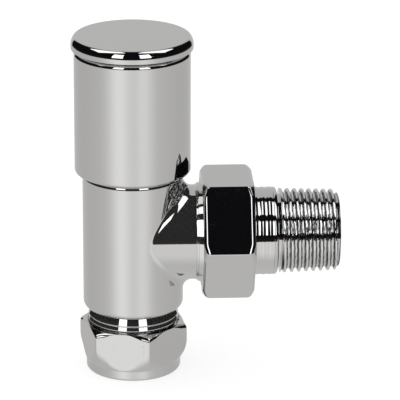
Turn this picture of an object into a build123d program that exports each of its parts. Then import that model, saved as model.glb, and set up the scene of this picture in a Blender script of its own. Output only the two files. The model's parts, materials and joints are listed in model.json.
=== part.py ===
from build123d import *
from math import cos, pi, radians, sin, tan
import os

# Manual angle valve for a radiator. All sizes are in millimetres.
# Z is the axis of the pipe and the spindle, upwards. X is the axis of the radiator tail.
# The origin is the centre of the pipe's entry, in the bottom face of the compression nut.

# Clearances between pieces that fit each other
thread_clearance = 0.05
running_clearance = 0.05
seal_clearance = 0.04
seat_gap = 0.05
loose_clearance = 0.15

# Distance by which a cutting or joining shape passes the surface that it meets
cutter_margin = 0.5

# Angle from the middle of a hexagon's face to its corner
hexagon_half_angle = 30.0

# Pipe entry
pipe_radius = 7.5
olive_pipe_clearance = 0.05
socket_pipe_clearance = 0.1
nut_pipe_clearance = 0.2
pipe_stop_height = 17.0

# Compression nut
compression_nut_flats = 24.0
compression_nut_height = 12.5
compression_nut_clocking = 15.0
compression_ring_radius = 11.85
compression_ring_height = 2.6
compression_ring_rounding = 0.85
compression_foot_slope = 0.95
compression_top_flat_radius = 12.1
compression_top_angle = 25.0
compression_floor_height = 4.6
compression_mouth_break = 0.3
compression_countersink = 0.5
compression_thread_radius = 11.0

# Olive
olive_bottom_height = 2.5
olive_length = 5.2
olive_outer_radius = 8.45
olive_end_radius = 7.9
olive_cone_length = 1.6
olive_crown_rounding = 1.0

# Body
body_radius = 12.5
body_mouth_height = 5.5
body_mouth_chamfer = 0.8
body_underside_height = 16.7
body_underside_rounding = 1.95
body_shoulder_height = 52.1
body_shoulder_rounding = 1.0
collar_neck_radius = 10.5
collar_ridge_radius = 11.25
collar_groove_radius = 10.9
collar_ridge_height = 14.6
collar_groove_height = 14.35
collar_lower_ridge_height = 13.3
collar_ridge_thickness = 0.2
mouth_cone_radius = 9.0
mouth_cone_length = 3.0
waterway_radius = 6.0
seat_height = 27.0
seat_lip_width = 1.2
seat_lip_height = 1.0
chamber_radius = 9.0
bonnet_thread_radius = 9.75
bonnet_thread_length = 6.2
bonnet_seal_bore_radius = 10.9
bonnet_seal_bore_depth = 1.7

# Side spigot
tail_axis_height = 35.5
spigot_radius = 11.85
spigot_blend_radius = 2.8
spigot_thread_start = 15.5
spigot_thread_rise = 0.6
spigot_thread_radius = 13.2
spigot_length = 24.5
spigot_end_chamfer = 0.7
spigot_bore_radius = 6.75
spigot_cone_radius = 9.2
spigot_cone_length = 3.0

# Union nut
union_nut_flats = 29.5
union_nut_start = 17.0
union_nut_length = 12.9
union_nut_clocking = 29.5
union_nut_face_radius = 15.3
union_nut_chamfer_angle = 30.0
union_nut_lip_thickness = 3.6
union_nut_countersink = 0.5

# Radiator tail
tail_nose_length = 1.2
tail_flange_radius = 12.9
tail_flange_thickness = 1.6
tail_shank_radius = 11.0
tail_shank_end = 36.0
tail_shank_rounding = 0.5
tail_end = 51.4
tail_thread_end_radius = 10.15
tail_thread_taper = 1 / 32
tail_thread_pitch = 1.814
tail_thread_depth = 0.95
tail_thread_crest_width = 0.45
tail_thread_root_width = 0.35
tail_first_crest = 37.6
tail_crest_count = 8
tail_end_chamfer = 0.6
tail_nose_bore_radius = 7.0
tail_key_flats = 12.7
tail_key_start = 26.0
tail_key_end = 34.0
tail_bore_radius = 7.2
tail_mouth_chamfer = 0.5

# Spindle
spindle_radius = 4.0
spindle_thread_radius = 3.6
spindle_foot_chamfer = 0.5
spindle_collar_radius = 5.6
spindle_collar_thickness = 1.8
spindle_tap_radius = 2.05
spindle_tap_depth = 10.0
spline_count = 16
spline_root_radius = 3.4
spline_length = 8.2
thrust_washer_thickness = 0.4
thrust_washer_outer_radius = 5.9
o_ring_section = 1.2
o_ring_spacing = 2.0
o_ring_groove_slack = 0.1
circlip_thickness = 0.7
circlip_outer_radius = 5.6
circlip_inner_radius = 3.45
circlip_opening = 60.0
circlip_float = 0.15

# Bonnet and gland
guide_flats = 13.0
guide_end_depth = 1.6
collar_cavity_radius = 6.2
collar_cavity_rise = 0.9
bonnet_skirt_length = 2.7
bonnet_groove_radius = 9.3
bonnet_flange_radius = 12.0
bonnet_flange_thickness = 1.0
bonnet_hex_flats = 21.0
bonnet_hex_height = 4.4
bonnet_neck_radius = 7.9
bonnet_neck_height = 5.5
bonnet_edge_break = 0.4
bonnet_o_ring_section = 1.5
gland_bore_radius = 6.45
gland_floor_rise = 5.5
packing_height = 2.4
gland_thread_length = 2.9
gland_hex_flats = 14.0
gland_hex_height = 3.5
gland_corner_cut = 0.6

# Plug
plug_flats = 12.8
plug_travel = 4.1
plug_end_clearance = 0.6
plug_flange_radius = 8.2
plug_flange_thickness = 1.4
plug_web_thickness = 1.65
seat_washer_radius = 7.6
seat_washer_thickness = 2.8
washer_screw_radius = 2.0
washer_screw_length = 6.6
washer_screw_head_radius = 3.2
washer_screw_head_height = 1.4
screw_slot_width = 0.9
screw_slot_depth = 0.7

# Handwheel
barrel_radius = 14.4
barrel_wall = 1.6
barrel_length = 31.4
barrel_overlap = 0.2
barrel_top_rounding = 1.2
barrel_foot_rounding = 0.9
barrel_recess_radius = 11.6
hub_radius = 6.5
hub_clearance = 0.45
hub_end_gap = 0.2
spline_clearance = 0.06
web_thickness = 1.3
barrel_deck_depth = 3.0
rib_count = 6
rib_thickness = 1.2
rib_depth = 4.5
wheel_screw_radius = 2.0
wheel_screw_length = 9.0
wheel_screw_head_radius = 3.6
wheel_screw_head_height = 2.2
wheel_screw_rounding = 0.8

# Cap
cap_neck_radius = 13.2
cap_neck_height = 0.3
cap_radius = 15.1
cap_side_height = 1.09
cap_crown_radius = 2.7
cap_crown_angle = 41.0
cap_edge_radius = 0.8
cap_skirt_length = 4.4
cap_skirt_wall = 1.1

# Heights and places that follow from the sizes above
guide_height = body_shoulder_height - guide_end_depth
collar_cavity_height = body_shoulder_height + collar_cavity_rise
gland_floor_height = body_shoulder_height + gland_floor_rise
thrust_shoulder = collar_cavity_height - seat_gap
spindle_collar_top = thrust_shoulder - thrust_washer_thickness - seat_gap
spindle_collar_bottom = spindle_collar_top - spindle_collar_thickness
seat_washer_bottom = seat_height + seat_gap
plug_flange_bottom = seat_washer_bottom + seat_washer_thickness
plug_thread_floor = seat_washer_bottom + washer_screw_length + plug_web_thickness
plug_top_height = spindle_collar_bottom - plug_travel - plug_end_clearance
spindle_foot_height = plug_thread_floor + plug_travel + plug_end_clearance
bonnet_flange_top = body_shoulder_height + bonnet_flange_thickness
bonnet_hex_top = bonnet_flange_top + bonnet_hex_height
bonnet_top = bonnet_hex_top + bonnet_neck_height
gland_top = bonnet_top + gland_hex_height
circlip_bottom = gland_top + circlip_float
hub_bottom = circlip_bottom + circlip_thickness + hub_clearance
spindle_top = hub_bottom + spline_length
screw_seat_height = spindle_top + hub_end_gap + web_thickness
barrel_bottom = body_shoulder_height - barrel_overlap
barrel_top = barrel_bottom + barrel_length
cap_seat_height = barrel_top + seat_gap
cap_disc_bottom = cap_seat_height + cap_neck_height
spigot_cone_slope = (spigot_cone_radius - spigot_bore_radius) / spigot_cone_length
tail_flange_start = spigot_length + seat_gap
tail_flange_end = tail_flange_start + tail_flange_thickness
union_nut_end = union_nut_start + union_nut_length
union_lip_start = union_nut_end - union_nut_lip_thickness
olive_top = olive_bottom_height + olive_length
olive_slope = (olive_outer_radius - olive_end_radius) / olive_cone_length
bonnet_seal_floor = body_shoulder_height - bonnet_seal_bore_depth


def turned(*corners):
    # Solid turned about Z from (radius, height) corners, each with an optional rounding
    outline = FilletPolyline(
        *[(corner[0], 0, corner[1]) for corner in corners],
        radius=[corner[2] if len(corner) > 2 else 0 for corner in corners],
        close=True,
    )
    return revolve(make_face(outline), Axis.Z)


def groove(floor_radius, outer_radius, bottom, top):
    # Ring that cuts a groove down to the floor radius in a shaft of the outer radius
    return disc(outer_radius + cutter_margin, bottom, top) - disc(floor_radius, bottom, top)


def disc(radius, bottom, top):
    return Pos(0, 0, bottom) * Cylinder(radius, top - bottom, align=(Align.CENTER, Align.CENTER, Align.MIN))


def hexagon(flats, bottom, top, clocking=0.0):
    # Hexagonal bar whose first face looks along the clocking angle, measured from X
    section = RegularPolygon(flats / 2, 6, major_radius=False, rotation=clocking - hexagon_half_angle)
    return Pos(0, 0, bottom) * extrude(section, top - bottom)


def along_tail(solid):
    # Lays a piece that was turned about Z along the tail's axis
    return Pos(0, 0, tail_axis_height) * Rot(0, 90, 0) * solid


def ring_seal(centre_radius, centre_height, section):
    return Pos(0, 0, centre_height) * Torus(centre_radius, section / 2)


def screw_slot(height, head_radius):
    # Cutter for a slot right across the head of a screw
    return Pos(0, 0, height) * Box(2 * head_radius + cutter_margin, screw_slot_width, 2 * screw_slot_depth)


def body_shell():
    # Upright cylinder, its lower collar and the thread for the compression nut
    ridge_low = collar_lower_ridge_height - collar_ridge_thickness
    return turned(
        (0, body_mouth_height),
        (compression_thread_radius - body_mouth_chamfer, body_mouth_height),
        (compression_thread_radius, body_mouth_height + body_mouth_chamfer),
        (compression_thread_radius, ridge_low),
        (collar_ridge_radius, ridge_low),
        (collar_ridge_radius, collar_lower_ridge_height),
        (collar_groove_radius, collar_groove_height),
        (collar_ridge_radius, collar_groove_height + collar_ridge_thickness / 2),
        (collar_ridge_radius, collar_ridge_height),
        (collar_neck_radius, body_underside_height),
        (body_radius, body_underside_height, body_underside_rounding),
        (body_radius, body_shoulder_height, body_shoulder_rounding),
        (0, body_shoulder_height),
    )


def spigot_shell():
    # Side spigot from the body's axis to its threaded end
    return along_tail(
        turned(
            (0, 0),
            (spigot_radius, 0),
            (spigot_radius, spigot_thread_start),
            (spigot_thread_radius, spigot_thread_start + spigot_thread_rise),
            (spigot_thread_radius, spigot_length - spigot_end_chamfer),
            (spigot_thread_radius - spigot_end_chamfer, spigot_length),
            (0, spigot_length),
        )
    )


def body_waterways():
    # Pipe socket, seat, plug chamber and bonnet thread, then the bore out to the tail
    seat_lip_radius = waterway_radius + seat_lip_width
    chamber_floor = seat_height - seat_lip_height
    socket_radius = pipe_radius + socket_pipe_clearance
    thread_floor = bonnet_seal_floor - bonnet_thread_length
    upright = turned(
        (0, body_mouth_height),
        (mouth_cone_radius, body_mouth_height),
        (socket_radius, body_mouth_height + mouth_cone_length),
        (socket_radius, pipe_stop_height),
        (waterway_radius, pipe_stop_height),
        (waterway_radius, seat_height),
        (seat_lip_radius, seat_height),
        (seat_lip_radius, chamber_floor),
        (chamber_radius, chamber_floor),
        (chamber_radius, thread_floor),
        (bonnet_thread_radius + thread_clearance, thread_floor),
        (bonnet_thread_radius + thread_clearance, bonnet_seal_floor),
        (bonnet_seal_bore_radius, bonnet_seal_floor),
        (bonnet_seal_bore_radius, body_shoulder_height),
        (0, body_shoulder_height),
    )
    outlet = along_tail(
        turned(
            (0, 0),
            (spigot_bore_radius, 0),
            (spigot_bore_radius, spigot_length - spigot_cone_length),
            (spigot_cone_radius, spigot_length),
            (0, spigot_length),
        )
    )
    return upright + outlet


def valve_body():
    shell = body_shell() + spigot_shell()
    blend = [edge for edge in shell.edges() if edge.geom_type not in (GeomType.CIRCLE, GeomType.LINE)]
    return fillet(blend, spigot_blend_radius) - body_waterways()


def compression_nut():
    corner_radius = compression_nut_flats / 2 / cos(radians(hexagon_half_angle))
    foot_cone_height = (corner_radius - compression_ring_radius) / compression_foot_slope
    top_cut = (corner_radius - compression_top_flat_radius) * tan(radians(compression_top_angle))
    envelope = turned(
        (0, 0),
        (compression_ring_radius, 0, compression_ring_rounding),
        (compression_ring_radius, compression_ring_height),
        (corner_radius, compression_ring_height + foot_cone_height),
        (corner_radius, compression_nut_height - top_cut),
        (compression_top_flat_radius, compression_nut_height),
        (0, compression_nut_height),
    )
    bar = hexagon(compression_nut_flats, 0, compression_nut_height, compression_nut_clocking)
    ring = disc(compression_ring_radius, 0, compression_ring_height)
    hole_radius = pipe_radius + nut_pipe_clearance
    cone_start = olive_bottom_height - loose_clearance
    cone_radius = olive_end_radius + loose_clearance / 2
    cone_top_radius = cone_radius + olive_slope * (compression_floor_height - cone_start)
    thread_radius = compression_thread_radius + thread_clearance
    bore = turned(
        (0, 0),
        (hole_radius + compression_mouth_break, 0),
        (hole_radius, compression_mouth_break),
        (hole_radius, cone_start),
        (cone_radius, cone_start),
        (cone_top_radius, compression_floor_height),
        (thread_radius, compression_floor_height),
        (thread_radius, compression_nut_height - compression_countersink),
        (thread_radius + compression_countersink, compression_nut_height),
        (0, compression_nut_height),
    )
    return ((bar + ring) & envelope) - bore


def olive():
    inner_radius = pipe_radius + olive_pipe_clearance
    return turned(
        (inner_radius, olive_bottom_height),
        (olive_end_radius, olive_bottom_height),
        (olive_outer_radius, olive_bottom_height + olive_cone_length, olive_crown_rounding),
        (olive_outer_radius, olive_top - olive_cone_length, olive_crown_rounding),
        (olive_end_radius, olive_top),
        (inner_radius, olive_top),
    )


def union_nut():
    corner_radius = union_nut_flats / 2 / cos(radians(hexagon_half_angle))
    cut = (corner_radius - union_nut_face_radius) * tan(radians(union_nut_chamfer_angle))
    envelope = turned(
        (0, union_nut_start),
        (union_nut_face_radius, union_nut_start),
        (corner_radius, union_nut_start + cut),
        (corner_radius, union_nut_end - cut),
        (union_nut_face_radius, union_nut_end),
        (0, union_nut_end),
    )
    bar = hexagon(union_nut_flats, union_nut_start, union_nut_end, hexagon_half_angle - union_nut_clocking)
    thread_radius = spigot_thread_radius + thread_clearance
    lip_radius = tail_shank_radius + loose_clearance
    bore = turned(
        (0, union_nut_start),
        (thread_radius + union_nut_countersink, union_nut_start),
        (thread_radius, union_nut_start + union_nut_countersink),
        (thread_radius, union_lip_start),
        (lip_radius, union_lip_start),
        (lip_radius, union_nut_end),
        (0, union_nut_end),
    )
    return along_tail((bar & envelope) - bore)


def tail_thread_radius(place):
    return tail_thread_end_radius + (tail_end - place) * tail_thread_taper


def tail_thread_corners():
    # Taper thread shown as rings of the true pitch and taper
    corners = []
    for number in range(tail_crest_count):
        crest = tail_first_crest + number * tail_thread_pitch
        for step in (-1, 1):
            place = crest + step * tail_thread_crest_width / 2
            corners.append((tail_thread_radius(place), place))
        if number < tail_crest_count - 1:
            root = crest + tail_thread_pitch / 2
            for step in (-1, 1):
                place = root + step * tail_thread_root_width / 2
                corners.append((tail_thread_radius(place) - tail_thread_depth, place))
    return corners


def tailpiece():
    nose_start = tail_flange_start - tail_nose_length
    nose_radius = spigot_cone_radius - spigot_cone_slope * (spigot_length - nose_start) - seat_gap
    nose_foot_radius = spigot_cone_radius + spigot_cone_slope * seat_gap - seat_gap
    root_before = tail_first_crest - tail_thread_pitch / 2
    root_after = tail_first_crest + (tail_crest_count - 0.5) * tail_thread_pitch
    end_radius = tail_thread_radius(tail_end) - tail_end_chamfer
    outside = turned(
        (0, nose_start),
        (nose_radius, nose_start),
        (nose_foot_radius, tail_flange_start),
        (tail_flange_radius, tail_flange_start),
        (tail_flange_radius, tail_flange_end),
        (tail_shank_radius, tail_flange_end),
        (tail_shank_radius, tail_shank_end, tail_shank_rounding),
        (tail_thread_radius(root_before) - tail_thread_depth, tail_shank_end),
        (tail_thread_radius(root_before) - tail_thread_depth, root_before),
        *tail_thread_corners(),
        (tail_thread_radius(root_after) - tail_thread_depth, root_after),
        (end_radius, tail_end),
        (0, tail_end),
    )
    bore = turned(
        (0, nose_start),
        (tail_nose_bore_radius, nose_start),
        (tail_nose_bore_radius, tail_key_start),
        (0, tail_key_start),
    )
    outlet = turned(
        (0, tail_key_end),
        (tail_bore_radius, tail_key_end),
        (tail_bore_radius, tail_end - tail_mouth_chamfer),
        (tail_bore_radius + tail_mouth_chamfer, tail_end),
        (0, tail_end),
    )
    key_socket = hexagon(tail_key_flats, tail_key_start, tail_key_end, hexagon_half_angle)
    return along_tail(outside - bore - outlet - key_socket)


def spline_profile(tip_radius, root_radius):
    # Round section with teeth, shared by the spindle's top and the hub that fits it
    tooth_width = 2 * pi * root_radius / spline_count / 2
    section = Circle(root_radius)
    for number in range(spline_count):
        tooth = Pos(tip_radius / 2, 0) * Rectangle(tip_radius, tooth_width)
        section += Rot(0, 0, number * 360 / spline_count) * tooth
    return section & Circle(tip_radius)


def spindle_grooves():
    # Heights of the two seal grooves, around the middle of the bonnet's narrow bore
    middle = (collar_cavity_height + gland_floor_height) / 2
    return middle - o_ring_spacing / 2, middle + o_ring_spacing / 2


def spindle():
    stem = turned(
        (0, spindle_foot_height),
        (spindle_thread_radius - spindle_foot_chamfer, spindle_foot_height),
        (spindle_thread_radius, spindle_foot_height + spindle_foot_chamfer),
        (spindle_thread_radius, spindle_collar_bottom),
        (spindle_collar_radius, spindle_collar_bottom),
        (spindle_collar_radius, spindle_collar_top),
        (spindle_radius, spindle_collar_top),
        (spindle_radius, hub_bottom),
        (0, hub_bottom),
    )
    spline_section = spline_profile(spindle_radius, spline_root_radius)
    splines = Pos(0, 0, hub_bottom) * extrude(spline_section, spline_length)
    groove_floor = spindle_radius - o_ring_section - 2 * seal_clearance
    groove_width = o_ring_section + 2 * o_ring_groove_slack
    for height in spindle_grooves():
        bottom, top = height - groove_width / 2, height + groove_width / 2
        stem -= groove(groove_floor, spindle_radius, bottom, top)
    clip_bottom = circlip_bottom - seal_clearance
    clip_top = circlip_bottom + circlip_thickness + seal_clearance
    clip_floor = circlip_inner_radius - seal_clearance
    stem -= groove(clip_floor, spindle_radius, clip_bottom, clip_top)
    return stem + splines - disc(spindle_tap_radius, spindle_top - spindle_tap_depth, spindle_top)


def spindle_o_ring(height):
    centre = spindle_radius - seal_clearance - o_ring_section / 2
    return ring_seal(centre, height, o_ring_section)


def spindle_circlip():
    top = circlip_bottom + circlip_thickness
    ring = disc(circlip_outer_radius, circlip_bottom, top) - disc(circlip_inner_radius, circlip_bottom, top)
    reach = 2 * circlip_outer_radius
    half = radians(circlip_opening / 2)
    mouth = make_face(Polyline((0, 0), (reach * cos(half), reach * sin(half)),
                               (reach * cos(half), -reach * sin(half)), close=True))
    return ring - Pos(0, 0, circlip_bottom) * extrude(mouth, circlip_thickness)


def thrust_washer():
    outside = disc(thrust_washer_outer_radius, thrust_shoulder - thrust_washer_thickness, thrust_shoulder)
    return outside - disc(spindle_radius + running_clearance, 0, thrust_shoulder)


def bonnet():
    skirt_bottom = bonnet_seal_floor - bonnet_thread_length - bonnet_skirt_length
    skirt_radius = chamber_radius - loose_clearance
    thread_bottom = bonnet_seal_floor - bonnet_thread_length + seat_gap
    outside = turned(
        (0, skirt_bottom),
        (skirt_radius, skirt_bottom),
        (skirt_radius, thread_bottom),
        (bonnet_thread_radius, thread_bottom),
        (bonnet_thread_radius, bonnet_seal_floor),
        (bonnet_groove_radius, bonnet_seal_floor),
        (bonnet_groove_radius, body_shoulder_height),
        (bonnet_flange_radius, body_shoulder_height),
        (bonnet_flange_radius, bonnet_flange_top),
        (bonnet_neck_radius, bonnet_flange_top),
        (bonnet_neck_radius, bonnet_top, bonnet_edge_break),
        (0, bonnet_top),
    )
    bar = hexagon(bonnet_hex_flats, bonnet_flange_top, bonnet_hex_top)
    corner_limit = disc(bonnet_flange_radius, bonnet_flange_top, bonnet_hex_top)
    inside = turned(
        (0, guide_height),
        (collar_cavity_radius, guide_height),
        (collar_cavity_radius, collar_cavity_height),
        (spindle_radius + running_clearance, collar_cavity_height),
        (spindle_radius + running_clearance, gland_floor_height),
        (gland_bore_radius, gland_floor_height),
        (gland_bore_radius, bonnet_top),
        (0, bonnet_top),
    )
    return outside + (bar & corner_limit) - inside - hexagon(guide_flats, skirt_bottom, guide_height)


def bonnet_o_ring():
    centre_radius = bonnet_groove_radius + (bonnet_seal_bore_radius - bonnet_groove_radius) / 2
    return ring_seal(centre_radius, bonnet_seal_floor + bonnet_seal_bore_depth / 2, bonnet_o_ring_section)


def gland_packing():
    bottom, top = gland_floor_height, gland_floor_height + packing_height
    ring = disc(gland_bore_radius - seal_clearance, bottom, top)
    return ring - disc(spindle_radius + running_clearance, bottom, top)


def gland_nut():
    thread_radius = gland_bore_radius - thread_clearance
    foot = bonnet_top - gland_thread_length
    blank = disc(thread_radius, foot, bonnet_top) + hexagon(gland_hex_flats, bonnet_top, gland_top)
    corner_radius = gland_hex_flats / 2 / cos(radians(hexagon_half_angle))
    envelope = turned(
        (0, foot),
        (corner_radius, foot),
        (corner_radius, gland_top - gland_corner_cut),
        (corner_radius - 2 * gland_corner_cut, gland_top),
        (0, gland_top),
    )
    return (blank & envelope) - disc(spindle_radius + running_clearance, foot, gland_top)


def valve_plug():
    flange_top = plug_flange_bottom + plug_flange_thickness
    blank = disc(plug_flange_radius, plug_flange_bottom, flange_top)
    blank += hexagon(plug_flats, flange_top, plug_top_height)
    screw_depth = washer_screw_length - seat_washer_thickness + loose_clearance
    hole_radius = washer_screw_radius + thread_clearance
    screw_hole = disc(hole_radius, plug_flange_bottom, plug_flange_bottom + screw_depth)
    thread_bore = disc(spindle_thread_radius + thread_clearance, plug_thread_floor, plug_top_height)
    return blank - screw_hole - thread_bore


def seat_washer():
    top = seat_washer_bottom + seat_washer_thickness
    ring = disc(seat_washer_radius, seat_washer_bottom, top)
    return ring - disc(washer_screw_radius + thread_clearance, seat_washer_bottom, top)


def seat_washer_screw():
    head_bottom = seat_washer_bottom - washer_screw_head_height
    shape = disc(washer_screw_head_radius, head_bottom, seat_washer_bottom)
    shape += disc(washer_screw_radius, seat_washer_bottom, seat_washer_bottom + washer_screw_length)
    return shape - screw_slot(head_bottom, washer_screw_head_radius)


def handwheel_barrel():
    bore_radius = barrel_radius - barrel_wall
    deck_bottom = screw_seat_height - barrel_deck_depth
    shell = turned(
        (0, barrel_bottom),
        (barrel_radius, barrel_bottom, barrel_foot_rounding),
        (barrel_radius, barrel_top, barrel_top_rounding),
        (0, barrel_top),
    )
    shell -= disc(bore_radius, barrel_bottom, deck_bottom)
    shell -= disc(barrel_recess_radius, screw_seat_height, barrel_top)
    shell += disc(hub_radius, hub_bottom, deck_bottom)
    rib_length = bore_radius - hub_radius + 2 * cutter_margin
    rib_bottom = deck_bottom - rib_depth
    for number in range(rib_count):
        rib = Box(rib_length, rib_thickness, rib_depth, align=(Align.MIN, Align.CENTER, Align.MIN))
        shell += Rot(0, 0, number * 360 / rib_count) * Pos(hub_radius - cutter_margin, 0, rib_bottom) * rib
    socket = spline_profile(spindle_radius + spline_clearance, spline_root_radius + spline_clearance)
    shell -= Pos(0, 0, hub_bottom) * extrude(socket, spline_length + hub_end_gap)
    return shell - disc(wheel_screw_radius + loose_clearance, hub_bottom, screw_seat_height)


def handwheel_screw():
    head_top = screw_seat_height + wheel_screw_head_height
    shape = turned(
        (0, screw_seat_height - wheel_screw_length),
        (wheel_screw_radius, screw_seat_height - wheel_screw_length),
        (wheel_screw_radius, screw_seat_height),
        (wheel_screw_head_radius, screw_seat_height),
        (wheel_screw_head_radius, head_top, wheel_screw_rounding),
        (0, head_top),
    )
    return shape - screw_slot(head_top, wheel_screw_head_radius)


def profile_arc(centre_radius, centre_height, arc_radius, first_angle, last_angle):
    # Arc of a turned outline, between two angles that are measured up from the horizontal
    angles = (first_angle, (first_angle + last_angle) / 2, last_angle)
    points = []
    for angle in angles:
        points.append((centre_radius + arc_radius * cos(angle), 0, centre_height + arc_radius * sin(angle)))
    return ThreePointArc(*points)


def handwheel_cap():
    # Disc with a crowned side, a recessed neck below it and a skirt that pushes into the barrel
    side_top = cap_disc_bottom + cap_side_height
    crown_angle = radians(cap_crown_angle)
    crown = profile_arc(cap_radius - cap_crown_radius, side_top, cap_crown_radius, 0, crown_angle)
    inset = cap_crown_radius - cap_edge_radius
    edge_centre_radius = cap_radius - cap_crown_radius + inset * cos(crown_angle)
    edge_centre_height = side_top + inset * sin(crown_angle)
    edge = profile_arc(edge_centre_radius, edge_centre_height, cap_edge_radius, crown_angle, pi / 2)
    cap_top = edge_centre_height + cap_edge_radius
    skirt_radius = barrel_recess_radius - running_clearance
    skirt_bore = skirt_radius - cap_skirt_wall
    skirt_bottom = cap_seat_height - cap_skirt_length
    straights = Polyline(
        (edge_centre_radius, 0, cap_top),
        (0, 0, cap_top),
        (0, 0, cap_disc_bottom),
        (skirt_bore, 0, cap_disc_bottom),
        (skirt_bore, 0, skirt_bottom),
        (skirt_radius, 0, skirt_bottom),
        (skirt_radius, 0, cap_seat_height),
        (cap_neck_radius, 0, cap_seat_height),
        (cap_neck_radius, 0, cap_disc_bottom),
        (cap_radius, 0, cap_disc_bottom),
        (cap_radius, 0, side_top),
    )
    return revolve(make_face(straights + crown + edge), Axis.Z)


lower_seal_height, upper_seal_height = spindle_grooves()
pieces = {
    "valve_body": valve_body(),
    "compression_nut": compression_nut(),
    "olive": olive(),
    "union_nut": union_nut(),
    "tailpiece": tailpiece(),
    "spindle": spindle(),
    "spindle_o_ring_lower": spindle_o_ring(lower_seal_height),
    "spindle_o_ring_upper": spindle_o_ring(upper_seal_height),
    "spindle_circlip": spindle_circlip(),
    "thrust_washer": thrust_washer(),
    "bonnet": bonnet(),
    "bonnet_o_ring": bonnet_o_ring(),
    "gland_packing": gland_packing(),
    "gland_nut": gland_nut(),
    "valve_plug": valve_plug(),
    "seat_washer": seat_washer(),
    "seat_washer_screw": seat_washer_screw(),
    "handwheel_barrel": handwheel_barrel(),
    "handwheel_screw": handwheel_screw(),
    "handwheel_cap": handwheel_cap(),
}

os.makedirs("parts", exist_ok=True)
for name, solid in pieces.items():
    export_step(solid, f"parts/{name}.step")
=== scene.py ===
"""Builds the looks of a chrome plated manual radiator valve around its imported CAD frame."""

import json
import logging
import math
from abc import ABC, abstractmethod
from dataclasses import dataclass, field
from enum import Enum
from functools import cache
from typing import Callable, Iterable, Sequence

import bmesh
import bpy
import numpy as np
from mathutils import Matrix, Vector

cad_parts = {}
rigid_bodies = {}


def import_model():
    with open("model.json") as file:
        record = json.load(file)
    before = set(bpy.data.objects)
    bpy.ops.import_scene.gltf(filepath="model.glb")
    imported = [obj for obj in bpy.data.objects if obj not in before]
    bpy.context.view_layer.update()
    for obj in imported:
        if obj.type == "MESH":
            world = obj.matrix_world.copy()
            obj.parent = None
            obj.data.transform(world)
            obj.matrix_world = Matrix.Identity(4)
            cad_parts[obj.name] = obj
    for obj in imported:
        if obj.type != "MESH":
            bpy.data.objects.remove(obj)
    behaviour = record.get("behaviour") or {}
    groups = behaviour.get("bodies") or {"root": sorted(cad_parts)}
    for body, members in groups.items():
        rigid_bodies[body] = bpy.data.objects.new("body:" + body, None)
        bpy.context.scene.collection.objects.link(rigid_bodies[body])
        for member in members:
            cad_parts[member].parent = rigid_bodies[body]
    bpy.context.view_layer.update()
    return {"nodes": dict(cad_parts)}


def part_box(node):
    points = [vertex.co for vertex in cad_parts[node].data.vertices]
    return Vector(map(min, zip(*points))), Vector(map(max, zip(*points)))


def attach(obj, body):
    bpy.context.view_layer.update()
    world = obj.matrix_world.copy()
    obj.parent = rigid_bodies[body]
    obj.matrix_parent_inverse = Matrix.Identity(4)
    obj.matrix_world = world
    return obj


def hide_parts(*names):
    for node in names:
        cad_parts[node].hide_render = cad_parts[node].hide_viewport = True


LOG = logging.getLogger("valve")

# Metres in a millimetre and in a micrometre, and radians in a turn
MM = 0.001
MICROMETRE = 1e-6
TURN = 2.0 * math.pi

# Slices of a turned piece, and the height of the tail's axis in millimetres
SEGMENTS = 192
TAIL_HEIGHT = 35.5

# Points within this many millimetres of each other are one
WELD = 0.002

# Edges shorter than this in millimetres, and faces smaller than this in square metres, are nothing
NO_LENGTH = 1e-6
NO_AREA = 1e-14

# A corner is straight if its half angle is within this many radians of a quarter turn
NEARLY_STRAIGHT = 0.02

# Share of an edge that roundings may take up
ROUNDED_SHARE = 0.99

# Corners of a box's faces, where the corners are ordered by x, y and z
BOX_FACES = ((0, 1, 3, 2), (4, 6, 7, 5), (0, 4, 5, 1), (2, 3, 7, 6), (0, 2, 6, 4), (1, 5, 7, 3))

Outline = list[tuple[float, float]]
Mesh = bpy.types.Mesh
Item = bpy.types.Object


class Lay(Enum):
    """Where the axis of a turned piece lies."""

    UPRIGHT = "z"
    TAIL = "x"

    def matrix(self) -> Matrix:
        """Return the turn and shift from the piece's own Z axis to its place, in millimetres."""
        if self is Lay.UPRIGHT:
            return Matrix.Identity(4)
        return Matrix.Translation((0.0, 0.0, TAIL_HEIGHT)) @ Matrix.Rotation(math.pi / 2, 4, "Y")


class Slot(Enum):
    """The record's material slots."""

    CHROME = "chrome_plate"
    BRASS = "turned_brass"
    RUBBER = "black_rubber"
    STEEL = "bright_steel"
    PACKING = "white_packing"


# Outlines of turned pieces


def tangent_reach(corner: Sequence[float], back: Vector, ahead: Vector) -> float:
    """Return how far a corner's rounding reaches along its two edges.

    Args:
        corner: (radius, height) point in millimetres with an optional rounding.
        back: The way to the corner before it.
        ahead: The way to the corner after it.

    Returns:
        The wanted reach in millimetres, 0 for a corner that stays sharp.
    """
    if len(corner) < 3 or corner[2] <= 0.0 or min(back.length, ahead.length) < NO_LENGTH:
        return 0.0
    half = back.angle(ahead) / 2.0
    return corner[2] / math.tan(half) if half < math.pi / 2 - NEARLY_STRAIGHT else 0.0


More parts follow.
